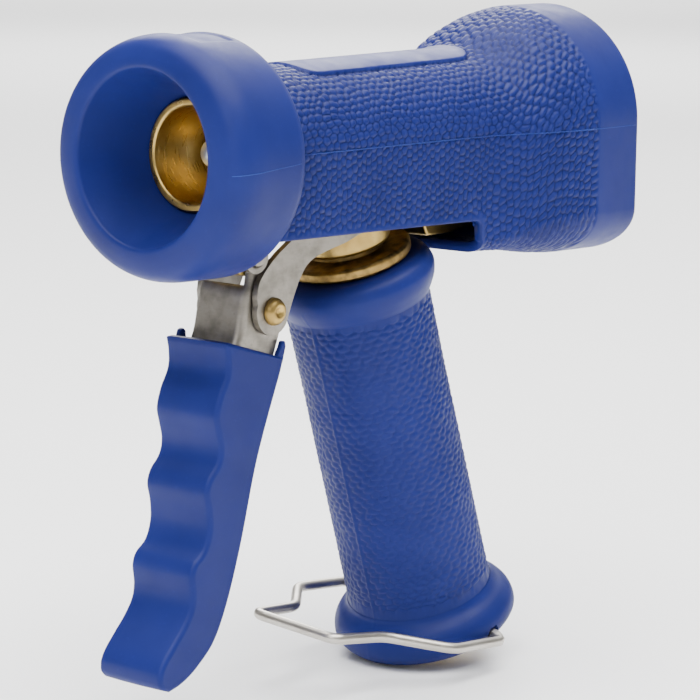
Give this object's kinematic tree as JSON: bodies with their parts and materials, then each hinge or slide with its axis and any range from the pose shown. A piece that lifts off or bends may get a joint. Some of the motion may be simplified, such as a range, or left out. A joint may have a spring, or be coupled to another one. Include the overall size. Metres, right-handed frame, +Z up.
{
  "type": "hose spray nozzle",
  "caption": "Heavy wash-down hose gun: a squeezed lever draws back a sprung brass valve stem, with a rubber bell mouth, grained rubber cover and grip, and a folding wire hanger.",
  "frame": {"origin": "centre of the bounding box's lowest face, directly under the gun", "axes": "+Z up, -X the way the water leaves, +Y across the gun towards the side away from the picture's camera"},
  "size_m": [0.174, 0.066, 0.184],
  "materials": {
    "blue_rubber": "satin, grained",
    "blue_plastic": "satin, smooth",
    "brass": "turned, slightly dulled",
    "steel": "satin",
    "wire": "bright",
    "seal": "matt"
  },
  "bodies": {
    "gun": {"barrel_cover": "blue_rubber", "handle_grip": "blue_rubber", "valve_body": "brass", "handle_pipe": "brass", "inlet_socket": "brass", "nozzle_cup": "brass", "rear_bonnet": "brass", "gland_nut": "brass", "lever_pivot_pin": "steel", "pivot_clip_left": "steel", "pivot_clip_right": "steel", "return_spring": "wire", "nozzle_o_ring": "seal", "neck_o_ring": "seal", "bonnet_gasket": "seal", "stem_packing": "seal"},
    "stem": {"valve_stem": "steel", "stem_tip": "wire", "valve_disc": "seal", "disc_holder": "brass", "spring_seat": "steel", "crosshead": "steel", "crosshead_pin_left": "steel", "crosshead_pin_right": "steel", "stem_nut": "steel", "lock_nut": "steel"},
    "lever": {"lever_grip": "blue_plastic", "lever_bracket": "steel"},
    "links": {"link_left": "steel", "link_right": "steel", "link_rivet": "brass"},
    "bail": {"hanger_bail": "wire"}
  },
  "joints": [
    {"name": "lever", "type": "hinge", "parent": "gun", "child": "lever", "pos_m": [-0.051, 0, 0.12147], "axis": [0, -1, 0], "range_deg": [0, 24.5], "stiffness_Nm_per_rad": 2, "springref_deg": -22.92},
    {"name": "stem", "type": "slide", "parent": "gun", "child": "stem", "axis": [1, 0, 0], "range_m": [0, 0.00706], "deforming": ["return_spring"]},
    {"name": "links", "type": "hinge", "parent": "lever", "child": "links", "pos_m": [-0.045, 0, 0.10687], "axis": [0, 1, 0], "range_deg": [0, 26.9]},
    {"name": "bail", "type": "hinge", "parent": "gun", "child": "bail", "pos_m": [0.0323, 0, 0.01247], "axis": [0, 0.9934, 0.1146], "range_deg": [-180, 38]}
  ],
  "couplings": [
    {"joint": "stem", "follows": "lever", "m_per_rad": 0.0165},
    {"joint": "links", "follows": "lever", "ratio": 1.0973}
  ]
}
